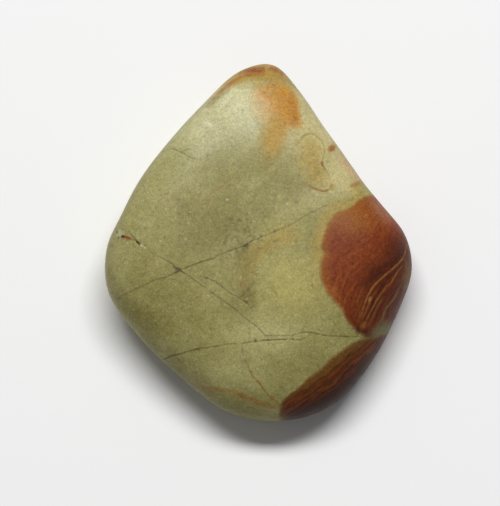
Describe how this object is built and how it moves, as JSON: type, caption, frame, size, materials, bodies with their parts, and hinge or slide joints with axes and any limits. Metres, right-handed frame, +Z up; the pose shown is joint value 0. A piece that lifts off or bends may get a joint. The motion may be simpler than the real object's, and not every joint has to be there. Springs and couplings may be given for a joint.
{
  "type": "porcellanite pebble",
  "caption": "Tumbled porcellanite pebble, rhombic in plan with rounded corners, domed both ways, resting on a small flat spot.",
  "frame": {"origin": "under the middle of the stone's box, on the plane of the flat spot that it rests on", "axes": "+Z up through the crown, +Y along the long way towards the narrow end, +X to the side with the large rust-red patch"},
  "size_m": [0.0292, 0.0344, 0.0087],
  "materials": {
    "porcellanite": "tumbled satin, olive grey-green with rust-red iron patches and dark hairline veins"
  },
  "bodies": {
    "root": {"pebble": "porcellanite"}
  },
  "joints": []
}
